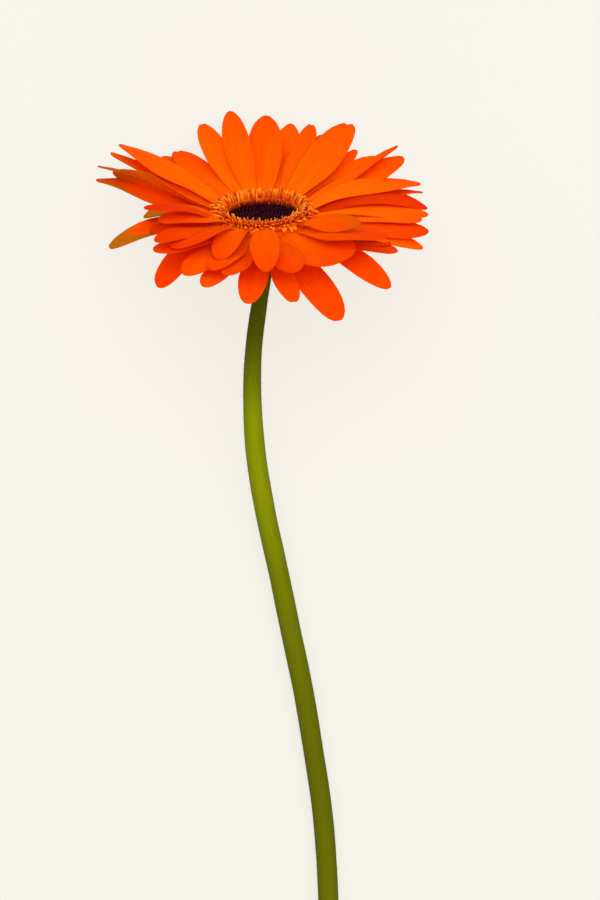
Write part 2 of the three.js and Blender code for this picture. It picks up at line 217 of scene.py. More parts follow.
def satinPetal():
    # gerbera ray petal: satin, almost waxy colour with fine parallel veins and a duller back, and a tone for
    # each petal that holds painted light and shade
    finish, blend = petalFinish, {"data_type": "RGBA"}
    material, tree = newMaterial("satinPetal")
    mark = {key: addNode(tree, "Attribute", {"attribute_name": key})[2]
            for key in ("along", "across", "reach", "tone", "grain", "under", "ochre", "rim")}
    place = addNode(tree, "CombineXYZ", {}, {"X": mark["across"], "Y": mark["reach"], "Z": mark["grain"]})
    stretch = (0.5 / finish["veinSpacing"], 1 / finish["veinLength"], finish["veinShift"])
    stretched = addNode(tree, "VectorMath", {"operation": "MULTIPLY"}, {0: place[0], 1: stretch})
    veins = addNode(tree, "TexNoise", {},
                    {"Vector": stretched[0], "Scale": 1.0, "Detail": 3.0, "Roughness": 0.55})
    veinShare = addNode(tree, "MapRange", {},
                        {"Value": veins[0], "From Min": 0.35, "From Max": 0.7, "To Max": finish["veinShare"]})
    top = addNode(tree, "ValToRGB", {"stops": finish["top"]}, {"Fac": mark["along"]})
    veined = addNode(tree, "Mix", blend, {0: veinShare[0], 6: top[0], 7: linear(finish["vein"])})
    # painted light and shade: the petal's tone sets how red and how dark it is
    hueLow, hueHigh = finish["toneAndShadeHue"]
    hue = addNode(tree, "MapRange", {}, {"Value": mark["tone"], "To Min": hueLow, "To Max": hueHigh})
    valueLow, valueHigh = finish["toneAndShadeValue"]
    value = addNode(tree, "MapRange", {"clamp": False},
                    {"Value": mark["tone"], "To Min": valueLow, "To Max": valueHigh})
    toned = addNode(tree, "HueSaturation", {}, {"Color": veined[2], "Hue": hue[0], "Value": value[0]})
    under = addNode(tree, "Mix", blend, {0: mark["under"], 6: toned[0], 7: linear(finish["under"])})
    mottle = addNode(tree, "TexNoise", {}, {"Vector": place[0], "Scale": 1 / finish["mottle"], "Detail": 3.0})
    sunned = addNode(tree, "Mix", blend,
                     {0: mottle[0], 6: linear(finish["ochre"]), 7: linear(finish["olive"])})
    tipped = addNode(tree, "Mix", blend, {0: mark["ochre"], 6: under[2], 7: sunned[2]})
    edge = addNode(tree, "Math", {"operation": "MULTIPLY"}, {0: mark["rim"], 1: finish["rimShare"]})
    edged = addNode(tree, "Mix", blend, {0: edge[0], 6: tipped[2], 7: linear(finish["rim"])})
    finishMaterial(tree, edged[2], veins[0], finish["relief"], finish["shader"], finish["glow"])
    return material


partTones = {"hue": (0.49, 0.51), "value": (0.75, 1.15), "relief": 0.1}  # relief in mm


def flowerPart(name, build):
    # small florets, buds and bracts: colour runs from foot to tip, each with its own tone
    material, tree = newMaterial(name)
    along, tone = (addNode(tree, "Attribute", {"attribute_name": key})[2] for key in ("along", "tone"))
    ramp = addNode(tree, "ValToRGB", {"stops": build["colours"]}, {"Fac": along})
    hueLow, hueHigh = build.get("hue", partTones["hue"])
    hue = addNode(tree, "MapRange", {}, {"Value": tone, "To Min": hueLow, "To Max": hueHigh})
    valueLow, valueHigh = partTones["value"]
    value = addNode(tree, "MapRange", {}, {"Value": tone, "To Min": valueLow, "To Max": valueHigh})
    toned = addNode(tree, "HueSaturation", {}, {"Color": ramp[0], "Hue": hue[0], "Value": value[0]})
    spots = addNode(tree, "TexNoise", {}, {
        "Vector": addNode(tree, "TexCoord")["Object"], "Scale": 1000 / build["spot"], "Detail": 2.0})
    finishMaterial(tree, toned[0], spots[0], partTones["relief"], build["shader"], build.get("glow"))
    return material


petalBuild = {
    "rootRadius": 13, "steps": 40, "columns": 14,
    "widest": 0.6, "rootWidth": 0.4,  # where it is widest, and the share of that width at its root
    "thickness": 0.5, "edge": 0.18,  # in the middle and at the edge
    # depth of the two lengthwise furrows, and their place and width as shares of the half width
    "furrow": 0.22, "furrowAt": 0.36, "furrowWidth": 0.12,
    "furrowNick": 0.25,  # how far each furrow nicks the tip
    "notchWidth": 0.16,  # share of the half width
    "ripple": 0.5, "sway": 0.35,  # lift of the waved edges and of the whole blade
    "lilt": 0.05,  # radians of slight turn
    "rim": 0.5,  # width of the dry edge
    "sunnedFrom": 0.75, "sunnedOver": 0.1,  # shares of the length
    "rootShade": 0.42,  # painted shadow: how much darker the inner end of an outermost petal is, where the petals above shade it
    "shadedBelow": -2, "shadedTo": 0.85,  # for roots under this height, out to this share of the length
    "collar": (12.3, 16.8, -3.7, -0.5),  # inner and outer radius, bottom and top
}

# azimuth, length, rise, width, bend, sweep, roll, cup, ochre, notch, twist and tone of each petal,
# under the height of its root. Azimuth 0 is the side of the head turned up from the table, and
# grows towards +X. Ochre above 0 colours the outer part of the petal, below 0 only its back.
# Tone is 1 for the brightest orange and 0 for the deepest red; it mixes each petal's own colour with painted
# light and shade.
whorls = {
    -0.7: [
        (178.6, 43.6, 22.7, 12.4, 10, -0.5, 0, 0.15, 0, 0, 0, 0.78),
        (-166.6, 43, 27.5, 9.7, 9, -2.6, -8, 0.15, 0, 0, 0, 0.8),
        (-156.5, 43.5, 21.4, 9.4, 6, -1.5, -8, 0.12, 0, 0.6, 0, 0.92),
        (159.5, 43, 19.3, 8, 10, 4, 15, 0.15, 0, 0.9, 0, 0.8),
        (146.5, 45.6, 19.7, 15.2, 6, 2, 0, 0.1, 0, 1.4, 0, 0.88),
        (101, 43.8, 6.3, 13, -23, 12, 0, 0, 0, 0, 0, 0.95),
        (70.6, 44.6, 0.8, 17.8, -6, 0, 0, -0.1, 0, 0, 0, 0.6),
        (50, 30, 14.2, 8, 0, -4, 30, 0.25, 0.35, 0.4, 0, 0.7),
        (33.5, 35, 0.6, 20.6, 8, 0, 14, 0, 0, 0.5, 0, 0.72),
        (1, 36.8, -0.2, 9.8, -28, 0, 0, -0.1, 0, 0, 0, 0.68),
        (-24, 30.4, 1.4, 9.6, -27, 14, 0, -0.1, 0, 0, 0, 0.68),
        (-37, 37.4, 8.4, 12.2, -19, 4, 4, -0.1, 0, 0.5, 0, 0.5),
        (-54, 30.6, 17.1, 13, -24, 0, 0, -0.1, 0, 0, 0, 0.7),
        (-58, 35, 22.2, 12, -18, 0, 0, -0.1, 0, 0, 0, 0.35),
        (-106.5, 41.4, 14.9, 10, -4, -3, 60, 0.1, -0.6, 0, 0, 0.85),
        (-121.3, 46.4, 20.6, 12.2, -2, -0.6, 0, 0.1, 0, -1, 22, 0.9),
        (-144.3, 39.8, 12.8, 12.6, 1, -2, 5, 0.1, 0, 1.2, 0, 0.78),
    ],
    -1.8: [
        (168, 43, 20, 10, 7, 3, 0, 0.1, 0, 0, 0, 0.95),
        (139.5, 40, 12.8, 7, 2, 5, 8, 0.15, 0, 0.5, 0, 1),
        (124, 45, 16.9, 7.4, 2, 1, -16, 0.2, -0.4, 0, 0, 0.8),
        (116.8, 42.8, 15.9, 15, 9, 3, 2, 0.1, 0, 0, 0, 0.85),
        (84.6, 43.2, 3.1, 15.4, -21, -1, 0, -0.1, 0, 0, 0, 0.98),
        (77.5, 41.4, 4, 12.4, -16, 0, 0, -0.1, 0, 0, 0, 0.95),
        (46.5, 42, 9.6, 14, -4, 0, 0, -0.1, 0, 0, 0, 0.6),
        (13, 34.5, 0, 11, -3, -3, 0, -0.1, 0, 0, 0, 0.6),
        (-12.8, 39.2, 1.7, 8.8, 3, 0, 0, -0.1, 0, 0, 0, 0.62),
        (-19.5, 38, 4, 10, 0, 3, 0, -0.1, 0, 0, 0, 0.7),
        (-29, 40.1, 0.6, 11.5, -5, 3, 0, -0.1, 0, 0, 0, 0.85),
        (-43, 40.5, 13, 10, -14, 5, 0, -0.1, 0, 0, 0, 0.5),
        (-78.5, 29, 10.8, 9.4, -28, 0, 4, 0.1, 0.9, 0, 0, 0.7),
        (-108, 47.5, 17, 11, -8, -1, 10, 0.1, 0.5, 0, 10, 0.6),
        (-118, 47.5, 18.9, 9.8, 3, 0, 12, 0.1, 0.25, 0, 0, 0.85),
        (-139.5, 42, 10.8, 11, -3, -2, 0, 0.1, 0, 0, 0, 0.8),
    ],
    -2.9: [
        (156, 41.5, 18, 9, 6, 2, 0, 0.1, 0, 0, 0, 0.8),
        (131, 41, 13, 10.5, 0, 4, 10, 0.1, 0, 0, 0, 1),
        (102.4, 43.4, 5.8, 12, -17, 3, 4, 0, 0.2, 0, -16, 0.85),
        (92.4, 44.8, 3, 13, -35, 1, 0, -0.1, 0, 0, -4, 0.4),
        (64.7, 45.4, -1.5, 11.4, -19, 0, 0, -0.1, 0, 0, 0, 1.2),
        (54, 40.8, 2, 12, 2, -1, 0, 0, 0, 0, 0, 0.6),
        (46.9, 45.8, -9.4, 11.2, -9, -6.5, 0, 0.1, 0, 0.3, 0, 0.75),
        (58, 36, 2, 9, 2, 0, 0, 0.1, 0, 0, 0, 0.5),
        (25.4, 48, -16, 12.4, 0, -4.6, 0, 0.1, 0, 0.4, 0, 0.7),
        (10.2, 43.5, -7, 8, 8, -1, 0, 0.1, 0, 0.8, 0, 0.75),
        (-4.6, 43.9, -7, 9.6, 7, -1, 0, 0.1, 0, 0, 0, 0.75),
        (-21.5, 41.7, -2, 9.5, 3, 4, 0, 0.1, 0, 0, 0, 0.95),
        (-50, 41.6, -7, 11.2, -13, 29, 0, 0.1, 0, 0, 0, 0.6),
        (-42, 40.4, 9.6, 13.4, -10, 4, 0, -0.1, 0, 0, 0, 0.6),
        (-73.6, 42.1, -0.6, 10.6, -24, 10, -7, 0, 0.9, -1.4, 0, 0.75),
        (-104, 46.3, 14.3, 15, -6, -2, -14, 0.1, 0.5, 0, 24, 0.65),
        (163, 43.5, 0, 10, 4, 0, 0, 0.1, 0, 0, 0, 0.8),
        (174, 42, 4, 11, 6, 0, 0, 0.1, 0, 0, 0, 0.75),
        (-174, 42, 6, 11, 6, 0, 0, 0.1, 0, 0, 0, 0.7),
        (-162, 44, -2, 10, 4, 0, 0, 0.1, 0, 0, 0, 0.78),
        (-149, 42, 2, 11, 4, 0, 0, 0.1, 0, 0, 0, 0.74),
        (-65, 28.4, 10, 12, -8, 0, 0, 0.1, 0, 0, 0, 0.5),
    ],
}


def petalMarks(row, height, along, v, half, toTip):
    # what the satin finish reads at each point, upper face first
    build, length, ochre, tone = petalBuild, row[1], row[8], row[11]
    toEdge = np.minimum(half * (1 - np.abs(v)), toTip)
    # sunned from tip and edges inwards
    outer = smoothStep((along + 0.22 * v ** 2 + 0.1 * v - build["sunnedFrom"]) / build["sunnedOver"])
    # painted shadow: the tone drops towards the root of low petals, where the petals above shade them
    inner = 1 - smoothStep(along / build["shadedTo"])
    depth = build["rootShade"] * inner * (height < build["shadedBelow"])
    return {
        "along": np.tile(along.ravel(), 2),
        "reach": np.tile(along.ravel() * length, 2),
        "across": np.tile((v * half).ravel(), 2),
        "tone": np.tile((tone - depth).ravel(), 2),
        "grain": draw.uniform(0, 1),
        "under": np.repeat([0.0, 1.0], along.size),
        "rim": np.tile(np.clip(1 - toEdge / build["rim"], 0, 1).ravel(), 2),
        "ochre": np.concatenate([(outer * max(ochre, 0)).ravel(),
                                 (np.minimum(1, 0.25 + outer) * abs(ochre)).ravel()]),
    }


def rayPetal(row, height):
    # s and along run from root to tip, v across from edge to edge; lift is the way the top faces
    azimuth, length, rise, width, bend, sweep, roll, cup, _, notch, twist, _ = row
    build = petalBuild
    slopes = rise + bend * (2 * (np.arange(48) + 0.5) / 48 - 1)
    root = heading(azimuth, 0.0) * build["rootRadius"] + [0, 0, height]
    line = midline(azimuth, slopes, length, root, sweep)
    v = np.sin(np.linspace(-1, 1, build["columns"] + 1) * math.pi / 2)[None, :]
    s = np.linspace(0, 1, build["steps"] + 1)[:, None]
    furrow = np.exp(-((np.abs(v) - build["furrowAt"]) / build["furrowWidth"]) ** 2)
    widest = build["widest"]
    end = widest + (1 - widest) * np.sqrt(1 - v ** 2)  # oval tip
    end = end - (notch * np.exp(-(v / build["notchWidth"]) ** 2) + build["furrowNick"] * furrow) / length
    along = s * end
    half = width / 2 * (build["rootWidth"] + (1 - build["rootWidth"]) * smoothStep(along / widest))
    phase = draw.uniform(0, 2 * math.pi, 4)
    yaw, climb = azimuth + sweep * along, rise + bend * (2 * along - 1)
    way, side = heading(yaw, climb), heading(yaw + 90, 0 * along)
    up = np.cross(way, side)
    # roll is full after two thirds of the length, and twist comes in the outer half
    turn = np.radians(roll * np.minimum(1, 1.5 * along) + twist * smoothStep((along - 0.45) / 0.55))
    turn = turn + build["lilt"] * np.sin(3.2 * along + phase[0])
    turn = turn[..., None]
    across, lift = side * np.cos(turn) + up * np.sin(turn), up * np.cos(turn) - side * np.sin(turn)
    grown = smoothStep(along / 0.35)  # the root is plain
    wave = build["ripple"] * v * np.abs(v) * np.sin(7 * along + phase[1] + v) * grown
    sway = build["sway"] * np.sin(4.5 * along + phase[2]) * along
    sink = build["furrow"] * furrow * grown * (1.15 - 0.5 * along)
    relief = cup * half * v ** 2 + wave + sway - sink
    top = sampleLine(line, along) + across * (v * half)[..., None] + lift * relief[..., None]
    thick = build["edge"] + (build["thickness"] - build["edge"]) * (1 - v ** 2) * (1 - 0.5 * along)
    points, faces = closedBlade(top, top - lift * thick[..., None])
    return points, faces, petalMarks(row, height, along, v, half, (end - along) * length)


def ringBody(inner, outer, bottom, top):
    return hoop([(outer, bottom), (outer, top), (inner, top), (inner, bottom)], 96)


print("growing the ray petals")
petals = [rayPetal(row, height) for height, rows in whorls.items() for row in rows]
collarMarks = {"along": 0.1, "reach": 3.0, "across": 0.0, "tone": 0.5, "grain": 0.5, "under": 0.0,
               "rim": 0.0, "ochre": 0.0}
petals.append((*ringBody(*petalBuild["collar"]), collarMarks))
makePiece("rayPetals", petals, satinPetal(), ["ray_florets"])

transBuild = {
    # radius and height of the feet, count, length, width, slope from foot to tip
    "rows": [
        (12.3, 0.0, 60, 3.5, 0.6, 88, 80),
        (12.6, 0.3, 62, 3.9, 0.65, 84, 66),
        (13.2, 0.8, 60, 3.3, 0.85, 74, 46),
        (14.0, 0.8, 58, 3.0, 1.1, 62, 26),
        (15.0, 0.7, 56, 2.9, 1.25, 44, -4),
        (16.1, 0.6, 56, 3.0, 1.3, 16, -34),
    ],
    "thickness": 0.22,
    # how far single florets stray: place in the row, slope, curl, foot, twist, length and width
    "stray": 0.45, "shake": 12, "curl": 18, "step": 0.3, "twist": 14,
    "lengths": (0.72, 1.15), "widths": (0.8, 1.15),
    "steepest": (92, 88),  # degrees at the foot and at the tip
    "seat": (12.3, 16.2, 0.0, 0.8),  # inner and outer radius, bottom and top
    "colours": [(0.0, "#D83400"), (0.3, "#FF6008"), (0.65, "#FF7C10"), (0.9, "#FF9424"), (1.0, "#FFBC60")],
    "hue": (0.484, 0.531),  # some redder, some more golden
    "spot": 1.11,  # mm
    "glow": (0.25, "#FF5A08"),
    "shader": {"Roughness": 0.55, "IOR": 1.4, "Specular IOR Level": 0.05,
               "Subsurface Weight": 0.2, "Subsurface Scale": 0.0008, "Subsurface Radius": (1.0, 0.4, 0.1),
               # painted glow: a faint orange emission that lifts the shade between the florets
               "Emission Color": linear("#FF4500"), "Emission Strength": 0.08},
}


def transFloret(foot, base, azimuth, length, width, climbs):
    # narrow strap that tapers from its middle and curls outwards
    line = midline(azimuth, climbs, length, heading(azimuth, 0.0) * foot + [0, 0, base])
    s, v = np.linspace(0, 1, 9)[:, None], np.linspace(-1, 1, 5)[None, :]
    climb = np.interp(s, np.linspace(0, 1, len(climbs)), climbs)
    twist = draw.normal(0, transBuild["twist"]) * s
    way, side = heading(azimuth + 0 * s, climb), heading(azimuth + 90 + twist, 0 * s)
    up = np.cross(way, side)
    half = width / 2 * (0.6 + 0.8 * s) * np.clip(1 - np.clip((s - 0.5) / 0.52, 0, 1) ** 1.6, 0.04, 1)
    top = sampleLine(line, s + 0 * v) + side * (v * half)[..., None] + up * (0.35 * half * v ** 2)[..., None]
    points, faces = closedBlade(top, top - up * transBuild["thickness"])
    return points, faces, {"along": np.tile((s + 0 * v).ravel(), 2), "tone": draw.uniform(0, 1)}


def transRow(foot, base, count, length, width, first, last):
    build, florets = transBuild, []
    for k in range(count):
        azimuth = 360 / count * (k + draw.uniform(-build["stray"], build["stray"]))
        shake = draw.normal(0, build["shake"])
        footSlope = min(first + shake, build["steepest"][0])
        tipSlope = min(last + shake, build["steepest"][1]) - draw.uniform(0, build["curl"])
        florets.append(transFloret(
            foot + draw.uniform(-build["step"], build["step"]), base, azimuth,
            length * draw.uniform(*build["lengths"]), width * draw.uniform(*build["widths"]),
            np.linspace(footSlope, tipSlope, 10)))
    return florets


print("setting the trans florets")
florets = [floret for row in transBuild["rows"] for floret in transRow(*row)]
florets.append((*ringBody(*transBuild["seat"]), {"along": 0.3, "tone": 0.4}))
# young ray florets: golden satin straps on a brown-red foot
makePiece("transFlorets", florets, flowerPart("goldenFloret", transBuild), ["trans_florets"])


def stalk(foot, azimuth, height, radii, lean, base, sides=6):
    # small upright body with a ring for each radius
    rings, count = [], len(radii)
    turn = np.arange(sides) * 360 / sides
    for k, radius in enumerate(radii):
        s = k / (count - 1)
        centre = heading(azimuth, 0.0) * (foot + lean * s ** 1.5) + [0, 0, base + height * s]
        rings.append(centre + heading(turn, 0 * turn) * radius)
    points, faces = loft(np.stack(rings))
    return points, faces, {"along": np.repeat(np.linspace(0, 1, count), sides), "tone": draw.uniform(0, 1)}


tubeBuild = {
    "count": 280, "height": (1.6, 2.9), "lean": (-0.2, 0.3), "radii": [0.3, 0.3, 0.34, 0.4, 0.16],
    "foot": 12.15, "base": -1.5,  # radius and height of the innermost feet
    # two tubes in five stand further out among the trans florets, where the ground is higher
    "stride": 0.7549, "inside": 0.6, "spread": 9, "outLean": 2, "outRise": 2.3, "outRamp": 8,
    "colours": [(0.0, "#5A0A02"), (0.6, "#A82C04"), (1.0, "#D0581A")],
    "spot": 0.91,  # mm
    "shader": {"Roughness": 0.5, "IOR": 1.4, "Specular IOR Level": 0.05},
}


def tubeFloret(k):
    build = tubeBuild
    outer = max(0, (k * build["stride"]) % 1 - build["inside"])
    height = draw.uniform(*build["height"])
    lean = draw.uniform(*build["lean"]) + build["outLean"] * outer
    base = build["base"] + build["outRise"] * min(1, build["outRamp"] * outer)
    return stalk(build["foot"] + build["spread"] * outer, k * goldenAngle, height, build["radii"], lean, base)


print("setting the tube florets")
# opening disc florets: brown-red tubes with warm lips
makePiece("tubeFlorets", [tubeFloret(k) for k in range(tubeBuild["count"])],
          flowerPart("rustTube", tubeBuild))

discBuild = {
    "radius": 11.9, "bottom": -3.9, "rim": -1.2, "dip": 0.8,
    "buds": 300, "budHeight": (1.2, 1.7), "budRadii": [0.42, 0.5, 0.42, 0.12], "budLean": -0.25,
    "bristles": 420, "bristleHeight": (1.4, 2.3), "bristleRadii": [0.09, 0.07, 0.02],
    "bristleLean": (-0.8, 0.4),
    "sunk": (0.5, 0.3),  # how deep a bud and a bristle stand in the dish
    "sides": 64,
    "colours": [(0.0, "#0C0104"), (0.6, "#24040C"), (1.0, "#4A0C1A")],
    "spot": 0.67,  # mm
    "shader": {"Roughness": 0.6, "IOR": 1.4, "Specular IOR Level": 0.08},
}


def dishHeight(radius):
    return discBuild["rim"] - discBuild["dip"] * (1 - (radius / discBuild["radius"]) ** 2)


def discBud(k):
    build = discBuild
    foot = (build["radius"] - 0.25) * math.sqrt((k + 0.5) / build["buds"])
    return stalk(foot, k * goldenAngle, draw.uniform(*build["budHeight"]), build["budRadii"],
                 build["budLean"], dishHeight(foot) - build["sunk"][0])


def discBristle():
    build = discBuild
    foot = (build["radius"] - 0.2) * math.sqrt(draw.uniform(0, 1))
    return stalk(foot, draw.uniform(0, 360), draw.uniform(*build["bristleHeight"]), build["bristleRadii"],
                 draw.uniform(*build["bristleLean"]), dishHeight(foot) - build["sunk"][1], 3)


print("setting the disc")
discParts = [discBud(k) for k in range(discBuild["buds"])]
discParts += [discBristle() for _ in range(discBuild["bristles"])]
dish = [(discBuild["radius"], discBuild["bottom"])]
dish += [(r, dishHeight(r)) for r in np.linspace(discBuild["radius"], 0.3, 12)]
discParts.append((*loft(turned(dish, discBuild["sides"])), {"along": 0.1, "tone": 0.3}))
# closed buds: velvety purple-black with a dull plum tip
makePiece("discFlorets", discParts, flowerPart("plumBud", discBuild), ["disc_florets"])

involucreBuild = {
    "cup": [(3.7, -15.2), (6.1, -13.3), (9.4, -11.5), (12.4, -9.1), (14.4, -6.4), (14.9, -5.6)],
    "wall": 0.8, "slantedWall": 0.72,  # the share of the wall that goes out and down
    # count, radius and height of the root, slope, length
    "rows": [(17, 4.6, -13.6, 24, 8.4), (21, 8.0, -11.9, 23, 8.0), (25, 10.9, -9.9, 24, 7.0),
             (29, 13.2, -7.4, 46, 4.2)],
    "width": 2.6, "thickness": 0.45,
    "sunk": 0.3, "upcurl": 16, "shake": 3, "lengths": (0.92, 1.06), "stray": 0.15,
    "sides": 64,
    "colours": [(0.0, "#7D8F36"), (0.5, "#5E7422"), (0.85, "#4A5A1A"), (1.0, "#5A3C20")],
    "spot": 1.43,  # mm
    "shader": {"Roughness": 0.65, "IOR": 1.42, "Specular IOR Level": 0.3,
               "Sheen Weight": 0.2, "Sheen Roughness": 0.4},
}


def bract(azimuth, radius, height, slope, length):
    # narrow leaf that presses up against the cup and ends in a point
    build, steps = involucreBuild, np.linspace(0, 1, 10)
    climbs = slope + build["upcurl"] * steps + draw.normal(0, build["shake"])
    root = heading(azimuth, 0.0) * radius + [0, 0, height - build["sunk"]]
    line = midline(azimuth, climbs, length * draw.uniform(*build["lengths"]), root)
    s, v = np.linspace(0, 1, 11)[:, None], np.linspace(-1, 1, 5)[None, :]
    way, side = heading(azimuth + 0 * s, np.interp(s, steps, climbs)), heading(azimuth + 90 + 0 * s, 0 * s)
    up = np.cross(way, side)
    half = build["width"] / 2 * (1 - 0.85 * s ** 2.4)
    top = sampleLine(line, s + 0 * v) + side * (v * half)[..., None] + up * (0.25 * half * v ** 2)[..., None]
    points, faces = closedBlade(top, top - up * (build["thickness"] * (1.05 - 0.6 * v ** 2))[..., None])
    return points, faces, {"along": np.tile((s + 0 * v).ravel(), 2), "tone": draw.uniform(0, 1)}


def cupBody():
    inside, wall = np.array(involucreBuild["cup"]), involucreBuild["wall"]
    slanted = wall * involucreBuild["slantedWall"]
    outside = inside + [slanted, -slanted]
    outside[-1] = inside[-1] + [wall, 0]
    return hoop(np.concatenate([outside, inside[::-1]]), involucreBuild["sides"])


print("wrapping the involucre")
bracts = [(*cupBody(), {"along": 0.4, "tone": 0.4})]
for row, (count, radius, height, slope, length) in enumerate(involucreBuild["rows"]):
    stray = involucreBuild["stray"]
    for k in range(count):
        azimuth = 360 / count * (k + 0.5 * (row % 2) + draw.uniform(-stray, stray))
        bracts.append(bract(azimuth, radius, height, slope, length))
# young leaf: matt grey-green, browner at the tip
makePiece("involucreBracts", bracts, flowerPart("downyBract", involucreBuild), ["involucre"])

stemBuild = {
    "neck": (14, 5.2),  # depth under the petal roots where the stem starts, and its diameter there
    # x, y, z, diameter from below the neck to the cut end
    "path": [(-0.3, 96.1, 34.3, 5.3), (-2.4, 81.1, 28.2, 5.7), (-3.1, 65.9, 22.8, 6.2),
             (-2.1, 45.4, 16.7, 6.8), (1.1, 24.7, 11.8, 7), (5.6, 3.9, 8.2, 7), (9.9, -17.1, 5.6, 7),
             (14.3, -38.1, 4.3, 7), (17.8, -59, 3.6, 7), (20.9, -79.9, 3.44, 7), (22.6, -100.8, 3.44, 7),
             (23.2, -121.9, 3.44, 7), (22.4, -141.9, 3.44, 7), (20.6, -161.9, 3.44, 7)],
    # radius and height of the head's seat, in the head's frame
    "receptacle": [(0.4, -17), (2.7, -17), (3.3, -14.8), (5.6, -12.8), (9, -11), (12, -8.6), (13.9, -6),
                   (14.3, -3.6), (0.4, -3.6)],
    "sides": 56, "perSpan": 10,
    "cutSlant": 0.45,  # share of the radius
    # the cut face: share of the radius and depth of a pale rim, a pith disc and a small hollow
    "cutFace": [(0.9, 0.05), (0.45, 0.0), (0.2, -0.3), (0.1, -1.6)],
    "ribs": 9, "ribDepth": 0.014,  # share of the radius
    # millimetres below the head's centre and the colour there: the stem's green with painted light and shade,
    # darkest near the head where its shadow falls
    "colours": [(14, "#363A00"), (40, "#484E00"), (54, "#657200"), (68, "#869300"), (94, "#848D00"),
                (121, "#6F7800"), (150, "#636B00"), (190, "#5B6000"), (232, "#616700"), (290, "#6C7410")],
    "span": 300,  # mm that the colours cover
    "streak": "#545A08", "streakShare": 0.35,
    "streaks": (14.0, 26.0, 1.0),  # across the stem, and along the whole span
    "flank": "#3E4400", "sideShadeShare": 0.5,  # painted shade: darker green down both sides, where the stem rounds away from the light
    "cut": "#C9CE8E",  # wet pith at the cut end
    "relief": 0.15,
    "shader": {"Roughness": 0.55, "IOR": 1.42, "Specular IOR Level": 0.03,
               "Subsurface Weight": 0.05, "Subsurface Scale": 0.001},
}


def downyStem():
    # flower scape: taut green skin with faint lengthwise ribs and a paler cut face, with painted shade down
    # its sides and under the head
    build, blend = stemBuild, {"data_type": "RGBA"}
    material, tree = newMaterial("downyStem")
    mark = {key: addNode(tree, "Attribute", {"attribute_name": key})[2]
            for key in ("below", "around", "flank", "cutFace")}
    stops = [(place / build["span"], colour) for place, colour in build["colours"]]
    at = addNode(tree, "Math", {"operation": "DIVIDE"}, {0: mark["below"], 1: build["span"]})
    skin = addNode(tree, "ValToRGB", {"stops": stops}, {"Fac": at[0]})
    place = addNode(tree, "CombineXYZ", {}, {"X": mark["around"], "Y": at[0]})
    stretched = addNode(tree, "VectorMath", {"operation": "MULTIPLY"}, {0: place[0], 1: build["streaks"]})
    streaks = addNode(tree, "TexNoise", {}, {"Vector": stretched[0], "Scale": 1.0, "Detail": 4.0})
    streakShare = addNode(tree, "MapRange", {}, {
        "Value": streaks[0], "From Min": 0.3, "From Max": 0.75, "To Max": build["streakShare"]})
    streaked = addNode(tree, "Mix", blend, {0: streakShare[0], 6: skin[0], 7: linear(build["streak"])})
    sideShaded = addNode(tree, "Mix", blend, {0: mark["flank"], 6: streaked[2], 7: linear(build["flank"])})
    pith = addNode(tree, "Mix", blend, {0: mark["cutFace"], 6: sideShaded[2], 7: linear(build["cut"])})
    finishMaterial(tree, pith[2], streaks[0], build["relief"], build["shader"])
    return material


def smoothPath(points, perSpan):
    # centripetal curve through all points
    padded = np.vstack([2 * points[0] - points[1], points, 2 * points[-1] - points[-2]])
    made = []
    for k in range(len(points) - 1):
        p0, p1, p2, p3 = padded[k:k + 4]
        d0, d1, d2 = (max(np.linalg.norm(q - p) ** 0.5, 1e-4) for p, q in ((p0, p1), (p1, p2), (p2, p3)))
        m1 = ((p1 - p0) / d0 - (p2 - p0) / (d0 + d1) + (p2 - p1) / d1) * d1
        m2 = ((p2 - p1) / d1 - (p3 - p1) / (d1 + d2) + (p3 - p2) / d2) * d1
        t = np.arange(perSpan)[:, None] / perSpan
        made.append((2 * t ** 3 - 3 * t ** 2 + 1) * p1 + (t ** 3 - 2 * t ** 2 + t) * m1
                    + (3 * t ** 2 - 2 * t ** 3) * p2 + (t ** 3 - t ** 2) * m2)
    return np.vstack(made + [points[-1:]])


def stemFrames():
    # centres, directions and radii along the stem, straight for its first 5 mm under the head
    depth, diameter = stemBuild["neck"]
    neck = headToTable(np.array([[0, 0, -depth], [0, 0, -depth - 5]], float))
    rows = np.array(stemBuild["path"])
    keys = np.vstack([neck, rows[:, :3]])
    centres = smoothPath(keys, stemBuild["perSpan"])
    widths = np.interp(np.linspace(0, len(keys) - 1, len(centres)), np.arange(len(keys)),
                       np.concatenate([[diameter, diameter], rows[:, 3]]))
    ways = np.gradient(centres, axis=0)
    ways /= np.linalg.norm(ways, axis=1)[:, None]
    sides = np.cross(ways, [0, 0, 1])
    sides /= np.linalg.norm(sides, axis=1)[:, None]
    return centres, ways, sides, np.cross(sides, ways), widths / 2


